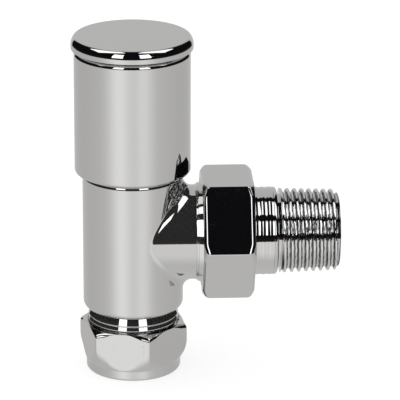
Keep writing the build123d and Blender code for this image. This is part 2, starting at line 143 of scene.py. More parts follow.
def rounded(corners: Sequence[tuple[float, ...]], steps: int = 5) -> Outline:
    """Round the corners of a closed outline.

    Two roundings that don't fit on the edge between them share it in proportion.

    Args:
        corners: (radius, height) points in millimetres, each with an optional rounding.
        steps: Number of straight parts in each rounding.

    Returns:
        The outline's points, in order.
    """
    count = len(corners)
    spots = [Vector(corner[:2]) for corner in corners]
    ways = [(spots[index - 1] - spot, spots[(index + 1) % count] - spot)
            for index, spot in enumerate(spots)]
    wanted = [tangent_reach(corner, *way) for corner, way in zip(corners, ways)]
    points: Outline = []
    for index, (corner, here) in enumerate(zip(corners, spots)):
        back, ahead = ways[index]
        reach = wanted[index]
        for way, other in ((back, wanted[index - 1]), (ahead, wanted[(index + 1) % count])):
            room = ROUNDED_SHARE * way.length
            if wanted[index] + other > room > 0.0:
                reach = min(reach, room * wanted[index] / (wanted[index] + other))
        if reach <= 0.0:
            points += [(here.x, here.y)] * (steps + 1 if len(corner) > 2 and corner[2] > 0.0 else 1)
            continue
        back_way, ahead_way = back.normalized(), ahead.normalized()
        half = back_way.angle(ahead_way) / 2.0
        centre = here + (back_way + ahead_way).normalized() * (reach / math.cos(half))
        start, end = here + back_way * reach - centre, here + ahead_way * reach - centre
        sweep = start.angle_signed(end)
        for step in range(steps + 1):
            spoke = start.copy()
            spoke.rotate(Matrix.Rotation(-sweep * step / steps, 2))
            points.append((centre.x + spoke.x, centre.y + spoke.y))
    return points


def arc(centre: tuple[float, float], radius: float, first: float, last: float, steps: int) -> Outline:
    """Return points on an arc of an outline, between two angles in degrees from the radial way."""
    angles = [math.radians(first + (last - first) * step / steps) for step in range(steps + 1)]
    return [(centre[0] + radius * math.cos(angle), centre[1] + radius * math.sin(angle))
            for angle in angles]


# Meshes


def new_object(name: str, mesh: Mesh) -> Item:
    """Link a new object with the mesh to the scene and return it."""
    item = bpy.data.objects.new(name, mesh)
    bpy.context.scene.collection.objects.link(item)
    return item


def mesh_from(name: str, points: np.ndarray, faces: Iterable[Sequence[int]]) -> Mesh:
    """Make a mesh from points in millimetres and faces."""
    mesh = bpy.data.meshes.new(name)
    mesh.from_pydata((np.asarray(points, float) * MM).tolist(), [], [tuple(face) for face in faces])
    mesh.update()
    return mesh


def box_mesh(name: str, x: Sequence[float], y: Sequence[float], z: Sequence[float]) -> Mesh:
    """Make a box between two values of x, y and z, in millimetres."""
    return mesh_from(name, np.array([(a, b, c) for a in x for b in y for c in z]), BOX_FACES)


def weld(mesh: Mesh) -> None:
    """Merge the mesh's points that are one, and turn its faces outwards."""
    work = bmesh.new()
    work.from_mesh(mesh)
    bmesh.ops.remove_doubles(work, verts=work.verts, dist=WELD * MM)
    flat = [face for face in work.faces if face.calc_area() < NO_AREA]
    bmesh.ops.delete(work, geom=flat, context="FACES_ONLY")
    bmesh.ops.delete(work, geom=[edge for edge in work.edges if not edge.link_faces], context="EDGES")
    bmesh.ops.delete(work, geom=[vert for vert in work.verts if not vert.link_edges], context="VERTS")
    bmesh.ops.recalc_face_normals(work, faces=work.faces)
    work.to_mesh(mesh)
    work.free()


def polish(mesh: Mesh, sharp: float = 24.0) -> None:
    """Shade the mesh smooth up to an angle, with each corner's normal led by the largest faces.

    Args:
        mesh: The mesh to shade.
        sharp: Faces that meet at a larger angle, in degrees, keep a crisp edge.
    """
    mesh.shade_smooth()
    work = bmesh.new()
    work.from_mesh(mesh)
    work.normal_update()
    limit = math.radians(sharp)
    area = [face.calc_area() for face in work.faces]
    normals = [Vector((0.0, 0.0, 1.0))] * len(mesh.loops)
    for vert in work.verts:
        loops = list(vert.link_loops)
        for loop in loops:
            own = loop.face.normal
            total = Vector((0.0, 0.0, 0.0))
            for other in loops:
                way = other.face.normal
                if own.dot(way) > math.cos(limit):
                    total += way * area[other.face.index]
            normals[loop.index] = total.normalized() if total.length > 0.0 else own
    edges = []
    for edge in work.edges:
        faces = edge.link_faces
        edges.append(len(faces) == 2 and faces[0].normal.angle(faces[1].normal, 0.0) > limit)
    work.free()
    for edge, crisp in zip(mesh.edges, edges):
        edge.use_edge_sharp = crisp
    mesh.normals_split_custom_set([tuple(normal) for normal in normals])


def sliced(name: str, outline_at: Callable[[float], Outline], angles: Sequence[float],
           lay: Lay = Lay.UPRIGHT) -> Mesh:
    """Make a closed mesh from the outline of each slice about the piece's axis.

    Args:
        name: Name of the mesh.
        outline_at: Gives the closed (radius, height) outline at an angle, always with as many points.
        angles: The slices' angles in radians, in order.
        lay: Where the axis lies.

    Returns:
        The mesh, welded, with its normals outwards.
    """
    points: list[tuple[float, float, float]] = []
    for angle in angles:
        c, s = math.cos(angle), math.sin(angle)
        points += [(radius * c, radius * s, height) for radius, height in outline_at(angle)]
    size = len(points) // len(angles)
    faces = []
    for index in range(len(angles)):
        here, after = index * size, (index + 1) % len(angles) * size
        for step in range(size):
            turn = (step + 1) % size
            faces.append((here + step, after + step, after + turn, here + turn))
    mesh = mesh_from(name, np.array(points), faces)
    weld(mesh)
    place(mesh, lay)
    return mesh


def lathe(name: str, outline: Outline, lay: Lay = Lay.UPRIGHT) -> Mesh:
    """Turn a closed (radius, height) outline in millimetres about the piece's axis."""
    angles = [TURN * step / SEGMENTS for step in range(SEGMENTS)]
    return sliced(name, lambda angle: outline, angles, lay)


def place(mesh: Mesh, lay: Lay) -> None:
    """Move a mesh that was built about Z to where its axis lies."""
    matrix = lay.matrix()
    mesh.transform(Matrix.Translation(matrix.translation * MM) @ matrix.to_3x3().to_4x4())


def cut(item: Item, cutters: Sequence[Mesh]) -> None:
    """Cut closed meshes out of an object, and remove them afterwards."""
    for mesh in cutters:
        tool = new_object("cutter", mesh)
        modifier = item.modifiers.new("boolean", "BOOLEAN")
        modifier.operation = "DIFFERENCE"
        modifier.solver = "MANIFOLD"
        modifier.object = tool
        bake(item)
        bpy.data.objects.remove(tool)
        bpy.data.meshes.remove(mesh)


def bake(item: Item) -> None:
    """Turn the object's modifiers into its plain mesh and take them off."""
    bpy.context.view_layer.update()
    graph = bpy.context.evaluated_depsgraph_get()
    mesh = bpy.data.meshes.new_from_object(item.evaluated_get(graph), depsgraph=graph)
    before = item.data
    item.modifiers.clear()
    item.data = mesh
    mesh.name = item.name
    if before.users == 0:
        bpy.data.meshes.remove(before)


def inside_box(item: Item, node: str) -> None:
    """Hold the object's points within the box of the CAD node it stands for, against rounding."""
    low, high = (np.array(tuple(corner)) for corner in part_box(node))
    places = np.zeros(len(item.data.vertices) * 3, np.float32)
    item.data.vertices.foreach_get("co", places)
    places = places.reshape(-1, 3)
    outside = float(max(np.max(low - places), np.max(places - high)))
    if outside > 0.0:
        LOG.info("%s is held in by %.4f mm", item.name, outside / MM)
    item.data.vertices.foreach_set("co", np.clip(places, low, high).ravel())
    item.data.update()


# Node trees


@dataclass(frozen=True)
class Term:
    """A value in a node tree. Arithmetic with it adds math nodes."""

    recipe: "Recipe"
    socket: bpy.types.NodeSocket

    def __add__(self, other: object) -> "Term":
        """Return the sum."""
        return self.recipe.math("ADD", self, other)

    def __sub__(self, other: object) -> "Term":
        """Return the difference."""
        return self.recipe.math("SUBTRACT", self, other)

    def __rsub__(self, other: object) -> "Term":
        """Return the difference from a number."""
        return self.recipe.math("SUBTRACT", other, self)

    def __mul__(self, other: object) -> "Term":
        """Return the product."""
        return self.recipe.math("MULTIPLY", self, other)

    def __truediv__(self, other: object) -> "Term":
        """Return the quotient."""
        return self.recipe.math("DIVIDE", self, other)

    def parts(self) -> list["Term"]:
        """Return a vector's x, y and z."""
        return self.recipe.outputs("ShaderNodeSeparateXYZ", {0: self}, range(3))


class Recipe:
    """Adds nodes to a tree and links them."""

    def __init__(self, tree: bpy.types.NodeTree) -> None:
        """Take the tree."""
        self.tree = tree

    def feed(self, node: bpy.types.Node, inputs: dict[object, object]) -> None:
        """Give a node's inputs, by name or number, their terms or plain values."""
        for key, value in inputs.items():
            if isinstance(value, Term):
                self.tree.links.new(value.socket, node.inputs[key])
            else:
                node.inputs[key].default_value = value

    def outputs(self, kind: str, inputs: dict[object, object], keys: Iterable[object],
                **settings: object) -> list[Term]:
        """Add a node.

        Args:
            kind: The node's type name.
            inputs: Terms or values for its inputs, by name or number.
            keys: Names or numbers of the outputs to return.
            settings: Other properties of the node.

        Returns:
            The chosen outputs.
        """
        node = self.tree.nodes.new(kind)
        for name, value in settings.items():
            setattr(node, name, value)
        self.feed(node, inputs)
        return [Term(self, node.outputs[key]) for key in keys]

    def add(self, kind: str, inputs: dict[object, object], key: object = 0, **settings: object) -> Term:
        """Add a node and return one of its outputs."""
        return self.outputs(kind, inputs, [key], **settings)[0]

    def math(self, operation: str, *values: object, clamp: bool = False) -> Term:
        """Add a math node."""
        return self.add("ShaderNodeMath", dict(enumerate(values)), operation=operation, use_clamp=clamp)

    def span(self, value: Term, low: float, high: float, start: float = 0.0, end: float = 1.0) -> Term:
        """Return the value eased from one range to another."""
        return self.add("ShaderNodeMapRange", {0: value, 1: low, 2: high, 3: start, 4: end},
                        interpolation_type="SMOOTHSTEP")

    def noise(self, place: Term, scale: float | Term, detail: float = 2.0, roughness: float = 0.5) -> Term:
        """Return a noise texture's value."""
        inputs = {"Vector": place, "Scale": scale, "Detail": detail, "Roughness": roughness}
        return self.add("ShaderNodeTexNoise", inputs)

    def mix(self, share: float | Term, first: object, second: object, **settings: object) -> Term:
        """Return a mix of two colours."""
        return self.add("ShaderNodeMix", {0: share, 6: first, 7: second}, 2, data_type="RGBA", **settings)


class Group(Recipe):
    """A node group with named inputs and outputs."""

    def __init__(self, name: str, kind: str, inputs: dict[str, object], outputs: dict[str, str]) -> None:
        """Start the group.

        Args:
            name: The group's name.
            kind: The kind of node tree.
            inputs: Its inputs with their usual numbers, or with the kind of socket for those without one.
            outputs: Its outputs with their kinds of socket.
        """
        super().__init__(bpy.data.node_groups.new(name, kind))
        self.ids: dict[str, str] = {}
        for label, usual in inputs.items():
            socket_kind = usual if isinstance(usual, str) else type(usual).__name__.capitalize()
            socket = self.tree.interface.new_socket(label, in_out="INPUT",
                                                    socket_type=f"NodeSocket{socket_kind}")
            if not isinstance(usual, str):
                socket.default_value = usual
            self.ids[label] = socket.identifier
        for label, socket_kind in outputs.items():
            self.tree.interface.new_socket(label, in_out="OUTPUT", socket_type=f"NodeSocket{socket_kind}")
        source = self.tree.nodes.new("NodeGroupInput")
        self.given = {label: Term(self, source.outputs[label]) for label in inputs}
        self.result = self.tree.nodes.new("NodeGroupOutput")


def shader_group(name: str, inputs: dict[str, object], *outputs: str) -> Group:
    """Start a group of shader nodes whose outputs are values."""
    return Group(name, "ShaderNodeTree", inputs, dict.fromkeys(outputs, "Float"))


@cache
def waviness() -> bpy.types.NodeTree:
    """Build the height of a polished surface's slight waves and its finer orange peel."""
    group = shader_group("polish_waviness", {"Place": "Vector", "Wave": 260.0, "Peel": 2600.0,
                                             "Peel share": 0.12}, "Height")
    place, wave, peel, share = group.given.values()
    broad, fine = group.noise(place, wave, 1.0), group.noise(place, peel, 2.0)
    group.feed(group.result, {"Height": group.math("MULTIPLY_ADD", fine, share, broad)})
    return group.tree


@cache
def handling() -> bpy.types.NodeTree:
    """Build the marks of handling: hairline scratches in two ways, and specks of dust."""
    group = shader_group("handling_marks", {"Place": "Vector", "Scratches": 0.5, "Dust": 0.5},
                         "Scratch", "Speck")
    place, scratches, dust = group.given.values()
    lines = []
    for turn, scale in ((0.35, (3600.0, 3600.0, 130.0)), (-0.8, (150.0, 4200.0, 4200.0))):
        inputs = {"Vector": place, "Scale": scale, "Rotation": (0.0, 0.0, turn)}
        drawn = group.noise(group.add("ShaderNodeMapping", inputs), 1.0, 0.0)
        lines.append(group.span(drawn, 0.735, 0.80))
    patch = group.span(group.noise(place, 170.0, 1.0), 0.48, 0.62)
    away, colour = group.outputs("ShaderNodeTexVoronoi", {"Vector": place, "Scale": 1500.0},
                                 ("Distance", "Color"))
    near = group.span(away, 0.05, 0.11, 1.0, 0.0)
    rare = group.math("GREATER_THAN", group.add("ShaderNodeSeparateColor", {0: colour}), 0.86)
    group.feed(group.result, {"Scratch": group.math("MAXIMUM", *lines) * patch * scratches,
                              "Speck": near * rare * dust})
    return group.tree


@cache
def turning() -> bpy.types.NodeTree:
    """Build the height of the fine rings that a lathe tool leaves about an upright axis."""
    group = shader_group("turning_marks", {"Place": "Vector", "Pitch": 5200.0}, "Height")
    place, pitch = group.given.values()
    x, y, z = place.parts()
    along = (group.math("SQRT", x * x + y * y) + z) * pitch
    rings = group.add("ShaderNodeTexNoise", {"W": along, "Scale": 1.0, "Detail": 2.0}, noise_dimensions="1D")
    group.feed(group.result, {"Height": rings})
    return group.tree


@cache
def soft_window() -> bpy.types.NodeTree:
    """Build a soft window that is 1 between two values and 0 outside them."""
    group = shader_group("soft_window", {"Value": 0.0, "Low": 0.0, "High": 1.0, "Soft": 0.1}, "Inside")
    value, low, high, soft = group.given.values()
    least = group.math("MINIMUM", (value - low) / soft, (high - value) / soft)
    group.feed(group.result, {"Inside": group.span(least, -0.5, 0.5)})
    return group.tree


Inputs = dict[str, Term]


@dataclass(frozen=True)
class Finish(ABC):
    """What all finishes share: a Principled surface with a bump.

    The colour is linear, and the bump's height is in micrometres.
    """

    name: str
    slot: Slot
    colour: tuple[float, float, float]
    metallic: float
    roughness: float
    height: float

    @abstractmethod
    def detail(self, recipe: Recipe, place: Term) -> tuple[Term, Inputs]:
        """Return the bump's height and the surface's inputs that vary from place to place."""

    def dress(self) -> bpy.types.Material:
        """Return the material, made the first time that it is asked for."""
        found = bpy.data.materials.get(self.name)
        if found is not None:
            return found
        material = bpy.data.materials.new(self.name)
        material.use_nodes = True
        recipe = Recipe(material.node_tree)
        height, inputs = self.detail(recipe, recipe.add("ShaderNodeTexCoord", {}, "Object"))
        bump = recipe.add("ShaderNodeBump", {"Height": height, "Distance": self.height * MICROMETRE,
                                             "Strength": 1.0})
        surface = material.node_tree.nodes["Principled BSDF"]
        recipe.feed(surface, {"Base Color": (*self.colour, 1.0), "Metallic": self.metallic,
                              "Roughness": self.roughness})
        recipe.feed(surface, {**inputs, "Normal": bump})
        return material

    def stained(self, recipe: Recipe, share: Term, stain_and_shade: tuple[float, float, float],
                rougher: float) -> Inputs:
        """Return the colour and roughness of a surface that a share of a second colour covers: real tarnish
        on turned metal, painted shade in a thread's groove.
        """
        return {"Base Color": recipe.mix(share, (*self.colour, 1.0), (*stain_and_shade, 1.0)),
                "Roughness": recipe.math("MULTIPLY_ADD", share, rougher, self.roughness)}


@dataclass(frozen=True)
class ChromeFinish(Finish):
    """Polished chrome plate with slight waves, hairline scratches and a little dust.

    The seam is a stretch of x in millimetres, over which the waves grow to four times their depth.
    """

    wave: float = 260.0
    scratches: float = 0.5
    dust: float = 0.4
    seam: tuple[float, float] | None = None

    def detail(self, recipe: Recipe, place: Term) -> tuple[Term, Inputs]:
        """Return the bump's height and the surface's varying inputs."""
        height = recipe.add("ShaderNodeGroup", {"Place": place, "Wave": self.wave}, node_tree=waviness())
        if self.seam is not None:
            height = height * recipe.span(place.parts()[0], self.seam[0] * MM, self.seam[1] * MM, 1.0, 4.0)
        marks = {"Place": place, "Scratches": self.scratches, "Dust": self.dust}
        scratch, speck = recipe.outputs("ShaderNodeGroup", marks, ("Scratch", "Speck"), node_tree=handling())
        cloud = recipe.span(recipe.noise(place, 90.0, 3.0), 0.35, 0.75, 0.0, 0.02)
        return height, {
            "Roughness": recipe.math("MULTIPLY_ADD", scratch + speck, 0.22, cloud + self.roughness),
            "Metallic": recipe.math("MULTIPLY_ADD", speck, -0.35, self.metallic)}


@dataclass(frozen=True)
class ThreadFinish(Finish):
    """Chrome plate over a thread: tool chatter across the turns, and painted shade that darkens the groove.

    The axis is 0 for x and 2 for z, and there are as many ridges in a metre along it.
    """

    axis: int = 0
    ridges: float = 2000.0
    # Colour of the painted shade in the groove, standing in for the shade inside the thread
    groove_colour: tuple[float, float, float] = (0.09, 0.09, 0.094)

    def detail(self, recipe: Recipe, place: Term) -> tuple[Term, Inputs]:
        """Return the bump's height and the surface's varying inputs."""
        along = place.parts()[self.axis]
        wander = recipe.noise(place, 240.0, 0.0) * 1.6
        chatter = recipe.math("PINGPONG", recipe.math("MULTIPLY_ADD", along, self.ridges, wander), 0.5)
        groove = recipe.add("ShaderNodeAttribute", {}, "Fac", attribute_name="groove")
        # Painted shade: the base colour darkens on the groove's flanks, and less at its very root
        painted_groove_shade = recipe.span(groove, 0.25, 0.5) * recipe.span(groove, 0.85, 1.0, 1.0, 0.1)
        return chatter, self.stained(recipe, painted_groove_shade, self.groove_colour, 0.2)


@dataclass(frozen=True)
class TurnedFinish(Finish):
    """Bare turned metal with the tool's fine rings and a slightly uneven colour."""

    tarnish: tuple[float, float, float] = (0.5, 0.3, 0.12)

    def detail(self, recipe: Recipe, place: Term) -> tuple[Term, Inputs]:
        """Return the bump's height and the surface's varying inputs."""
        rings = recipe.add("ShaderNodeGroup", {"Place": place}, node_tree=turning())
        share = recipe.span(recipe.noise(place, 240.0, 4.0, 0.6), 0.45, 0.72, 0.0, 0.5)
        return rings, self.stained(recipe, share, self.tarnish, 0.25)


@dataclass(frozen=True)
class MouldedFinish(Finish):
    """Rubber or polymer with a fine grain and soft patches of wear."""

    grain: float = 4200.0

    def detail(self, recipe: Recipe, place: Term) -> tuple[Term, Inputs]:
        """Return the bump's height and the surface's varying inputs."""
        worn = recipe.span(recipe.noise(place, 300.0, 2.0), 0.3, 0.7, self.roughness - 0.08,
                           self.roughness + 0.08)
        return recipe.noise(place, self.grain, 3.0, 0.6), {"Roughness": worn}


CHROME = ChromeFinish("chrome", Slot.CHROME, (0.56, 0.56, 0.56), 1.0, 0.025, 1.6)
CHROME_BODY = ChromeFinish("chrome_body", Slot.CHROME, (0.572, 0.572, 0.57), 0.955, 0.028, 1.8,
                           seam=(7.0, 12.0))
CHROME_NUT = ChromeFinish("chrome_nut", Slot.CHROME, (0.555, 0.555, 0.555), 1.0, 0.035, 2.0, wave=180.0,
                          scratches=1.0, dust=0.6)
CHROME_THREAD = ThreadFinish("chrome_thread", Slot.CHROME, (0.6, 0.6, 0.6), 1.0, 0.04, 115.0)
CHROME_UPRIGHT_THREAD = ThreadFinish("chrome_upright_thread", Slot.CHROME, (0.56, 0.56, 0.56), 1.0, 0.05,
                                     60.0, axis=2)
BRASS = TurnedFinish("brass", Slot.BRASS, (0.80, 0.56, 0.25), 1.0, 0.22, 7.0)
STEEL = TurnedFinish("steel", Slot.STEEL, (0.56, 0.56, 0.57), 1.0, 0.24, 6.0, tarnish=(0.32, 0.31, 0.31))
RUBBER = MouldedFinish("rubber", Slot.RUBBER, (0.018, 0.018, 0.019), 0.0, 0.52, 6.0)
PACKING = MouldedFinish("packing", Slot.PACKING, (0.80, 0.79, 0.77), 0.0, 0.42, 5.0, grain=2600.0)


# Shapes that a lathe can't make


# Angle from the middle of a hexagon's face to its corner
HALF_FACE = math.pi / 6

# Rows of points in each turn of a thread, and metal under its root in millimetres
ROWS_A_TURN = 22
SLEEVE = 0.35


@dataclass(frozen=True)
class Hexagon:
    """Hexagonal section with rounded corners, in millimetres."""

    flats: float
    clocking: float
    rounding: float

    @property
    def reach(self) -> float:
        """Return how far a face's flat part reaches from its middle."""
        return (self.flats / 2 - self.rounding) * math.tan(HALF_FACE)

    def angles(self, flat_steps: int = 22, corner_steps: int = 8) -> list[float]:
        """Return the slices' angles, close together at the corners."""
        tangent = math.atan2(self.reach, self.flats / 2)
        face = np.linspace(-tangent, tangent, flat_steps + 1)
        corner = np.linspace(tangent, math.pi / 3 - tangent, corner_steps + 1)[1:-1]
        start = math.radians(self.clocking)
        return [start + side * math.pi / 3 + angle for side in range(6) for angle in (*face, *corner)]

    def radius(self, angle: float) -> float:
        """Return the section's radius at an angle."""
        off = (angle - math.radians(self.clocking) + HALF_FACE) % (2 * HALF_FACE) - HALF_FACE
        if abs(math.tan(off)) * self.flats / 2 <= self.reach:
            return self.flats / 2 / math.cos(off)
        centre = (self.flats / 2 - self.rounding) / math.cos(HALF_FACE)
        side = HALF_FACE - abs(off)
        return centre * math.cos(side) + math.sqrt(self.rounding**2 - (centre * math.sin(side)) ** 2)


def prism(name: str, bar: Hexagon, low: float, high: float, lay: Lay) -> Mesh:
    """Make a hexagonal bar between two heights."""
    return sliced(name, lambda angle: [(0.0, low), (bar.radius(angle), low), (bar.radius(angle), high),
                                       (0.0, high)], bar.angles(6, 3), lay)


class Flow(Group):
    """A geometry tree with named inputs, which makes plain meshes."""

    def __init__(self, name: str, inputs: dict[str, object]) -> None:
        """Start the tree, with a material input besides the given ones."""
        super().__init__(name, "GeometryNodeTree", {**inputs, "Material": "Material"},
                         {"Geometry": "Geometry"})

    def end(self, geometry: Term) -> None:
        """Realize the geometry, give it the material input and lead it out."""
        real = self.add("GeometryNodeRealizeInstances", {0: geometry})
        dressed = self.add("GeometryNodeSetMaterial", {"Geometry": real, "Material": self.given["Material"]})
        self.feed(self.result, {0: dressed})

    def run(self, name: str, values: dict[str, object]) -> Item:
        """Evaluate the tree with the given inputs on a new object, and keep its plain mesh."""
        item = new_object(name, bpy.data.meshes.new(name))
        modifier = item.modifiers.new("flow", "NODES")
        modifier.node_group = self.tree
        for label, value in values.items():
            modifier[self.ids[label]] = value
        bake(item)
        return item


class ThreadFlow(Flow):
    """Geometry tree of a helical thread, as a closed sleeve about Z. Lengths are in metres.

    The sleeve's rows run from its inner radius at the start, along the thread, and back to the inner
    radius at the end.
    """

    # Depth of the groove is reached at this share of the way from the crest's middle to the root's
    ROOT_SHARE = 0.72

    # Share of an eased flank in the groove's shape, where the rest is straight
    EASED = 0.4

    def __init__(self) -> None:
        """Build the tree."""
        super().__init__("helical_thread", {
            "Radius": 0.01, "Inner radius": 0.009, "Start": 0.0, "Length": 0.01, "Pitch": 0.0015,
            "Depth": 0.0008, "Taper": 0.0, "Phase": 0.0, "Crest": 0.3, "Run-in": 0.001, "Run-out": 0.001,
            "Lead": 0.0005, "Around": SEGMENTS, "Rows": 100,
        })
        given = self.given
        rows = given["Rows"]
        grid = self.add("GeometryNodeMeshGrid", {0: 1.0, 1: 1.0, 2: given["Around"] + 1.0, 3: rows + 4.0})
        x, y, _ = self.add("GeometryNodeInputPosition", {}).parts()
        turn = x + 0.5
        row = self.math("ROUND", (y + 0.5) * (rows + 3.0))
        share = self.math("DIVIDE", row - 1.0, rows, clamp=True)
        along = share * (1.0 - self.math("GREATER_THAN", row, rows + 2.5)) * given["Length"]
        inner = self.math("MAXIMUM", self.math("LESS_THAN", row, 0.5),
                          self.math("GREATER_THAN", row, rows + 1.5))
        dip = self.dip(along, turn)
        outer = 1.0 - inner
        radius = (self.crest_radius(along) - dip) * outer + given["Inner radius"] * inner
        angle = turn * TURN
        spot = self.add("ShaderNodeCombineXYZ", {0: radius * self.math("COSINE", angle),
                                                 1: radius * self.math("SINE", angle),
                                                 2: given["Start"] + along})
        # The groove's depth, 0 at the crest and 1 at the root, is the mask for the thread material's painted
        # shade
        marked = self.add("GeometryNodeStoreNamedAttribute",
                          {"Geometry": grid, "Name": "groove", "Value": dip / given["Depth"] * outer},
                          data_type="FLOAT")
        moved = self.add("GeometryNodeSetPosition", {"Geometry": marked, "Position": spot})
        self.end(self.add("GeometryNodeMergeByDistance", {"Geometry": moved, "Distance": 2.0 * MICROMETRE}))

    def crest_radius(self, along: Term) -> Term:
        """Return the radius of the crests at a place, with the taper and the lead at the far end."""
        given = self.given
        lead = self.math("MAXIMUM", given["Lead"] - (given["Length"] - along), 0.0)
        return given["Radius"] - along * given["Taper"] - lead

    def dip(self, along: Term, turn: Term) -> Term:
        """Return the depth of the groove at a place, eased in and out at the thread's ends."""
        given = self.given
        phase = self.math("FRACT", along / given["Pitch"] - turn + given["Phase"] + 8.0)
        flank = 1.0 - self.math("ABSOLUTE", phase * 2.0 - 1.0)
        cut_share = self.math("DIVIDE", flank - given["Crest"], self.ROOT_SHARE - given["Crest"], clamp=True)
        eased = self.add("ShaderNodeMapRange", {0: cut_share}, interpolation_type="SMOOTHSTEP")
        shape = eased * self.EASED + cut_share * (1.0 - self.EASED)
        begin = self.math("DIVIDE", along, given["Run-in"], clamp=True)
        finish = self.math("DIVIDE", given["Length"] - along, given["Run-out"], clamp=True)
        return shape * given["Depth"] * (begin * finish)


class RepeatFlow(Flow):
    """Geometry tree that repeats an object about Z."""

    def __init__(self) -> None:
        """Build the tree."""
        super().__init__("radial_repeat", {"Piece": "Object", "Count": 6})
        count = self.given["Count"]
        points = self.add("GeometryNodeMeshLine", {"Count": count, "Offset": (0.0, 0.0, 0.0)})
        piece = self.add("GeometryNodeObjectInfo", {"Object": self.given["Piece"]}, "Geometry")
        angle = self.add("GeometryNodeInputIndex", {}) / count * TURN
        spin = self.add("ShaderNodeCombineXYZ", {2: angle})
        self.end(self.add("GeometryNodeInstanceOnPoints",
                          {"Points": points, "Instance": piece, "Rotation": spin}))


@dataclass
class Thread:
    """A helical thread's sizes in millimetres."""

    name: str
    radius: float
    start: float
    length: float
    pitch: float
    depth: float
    taper: float = 0.0
    phase: float = 0.0
    crest: float = 0.3
    run_in: float = 0.8
    run_out: float = 0.4
    lead: float = 0.6
    lay: Lay = Lay.UPRIGHT

    def build(self, flow: ThreadFlow, finish: Finish) -> Item:
        """Build the thread's sleeve and shade it."""
        lengths = {
            "Radius": self.radius, "Start": self.start, "Length": self.length, "Pitch": self.pitch,
            "Depth": self.depth, "Run-in": self.run_in, "Run-out": self.run_out, "Lead": self.lead,
            "Inner radius": self.radius - self.depth - self.taper * self.length - SLEEVE,
        }
        values: dict[str, object] = {label: length * MM for label, length in lengths.items()}
        values |= {"Taper": self.taper, "Phase": self.phase, "Crest": self.crest,
                   "Rows": int(self.length / self.pitch * ROWS_A_TURN), "Material": finish.dress()}
        item = flow.run(self.name, values)
        weld(item.data)
        place(item.data, self.lay)
        polish(item.data, 40.0)
        return item


# Sub-assemblies


def wear(mesh: Mesh, finish: Finish) -> None:
    """Give a mesh a finish's material in place of all others."""
    mesh.materials.clear()
    mesh.materials.append(finish.dress())


@dataclass
class Assembly(ABC):
    """What all sub-assemblies share: how a finished mesh becomes a piece of the valve."""

    flow: ThreadFlow
    pieces: list[Item] = field(default_factory=list)

    @abstractmethod
    def build(self) -> None:
        """Build all pieces of the sub-assembly."""

    def keep(self, item: Item, finish: Finish, body: str, node: str = "") -> None:
        """Dress a piece, tie it to its body and let it stand for a CAD node.

        Args:
            item: The piece.
            finish: Its finish.
            body: The CAD body that it rides on.
            node: The CAD node in whose box it lies, where that isn't named like its body.
        """
        wear(item.data, finish)
        inside_box(item, node or body)
        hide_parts(node or body)
        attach(item, body)
        self.pieces.append(item)

    def turned(self, name: str, outline: Outline, finish: Finish, body: str, node: str = "",
               lay: Lay = Lay.UPRIGHT, cutters: Sequence[Mesh] = ()) -> None:
        """Turn an outline into a piece, with cutters taken out of it."""
        item = new_object(name, lathe(name, outline, lay))
        cut(item, cutters)
        polish(item.data)
        self.keep(item, finish, body, node)

    def nut(self, name: str, outline_at: Callable[[float], Outline], section: Hexagon, finish: Finish,
            body: str, lay: Lay = Lay.UPRIGHT) -> None:
        """Make a nut from the outlines of its slices."""
        item = new_object(name, sliced(name, outline_at, section.angles(), lay))
        polish(item.data, 30.0)
        self.keep(item, finish, body)


@dataclass(frozen=True)
class Levels:
    """Heights that follow from the CAD nodes, in millimetres."""

    screw_top: float
    spline_top: float

    @classmethod
    def measured(cls) -> "Levels":
        """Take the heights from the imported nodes."""
        return cls(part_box("handwheel_screw")[1].z / MM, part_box("spindle")[1].z / MM)

    @property
    def seat(self) -> float:
        """Return the height that the screw's head rests on."""
        return self.screw_top - 2.2

    @property
    def deck(self) -> float:
        """Return the height of the deck's underside."""
        return self.seat - 3.0

    @property
    def hub_bottom(self) -> float:
        """Return the height of the hub's foot."""
        return self.spline_top - 8.2

    @property
    def hub_top(self) -> float:
        """Return the height where the hub's spline ends, just over the spindle."""
        return self.spline_top + 0.2


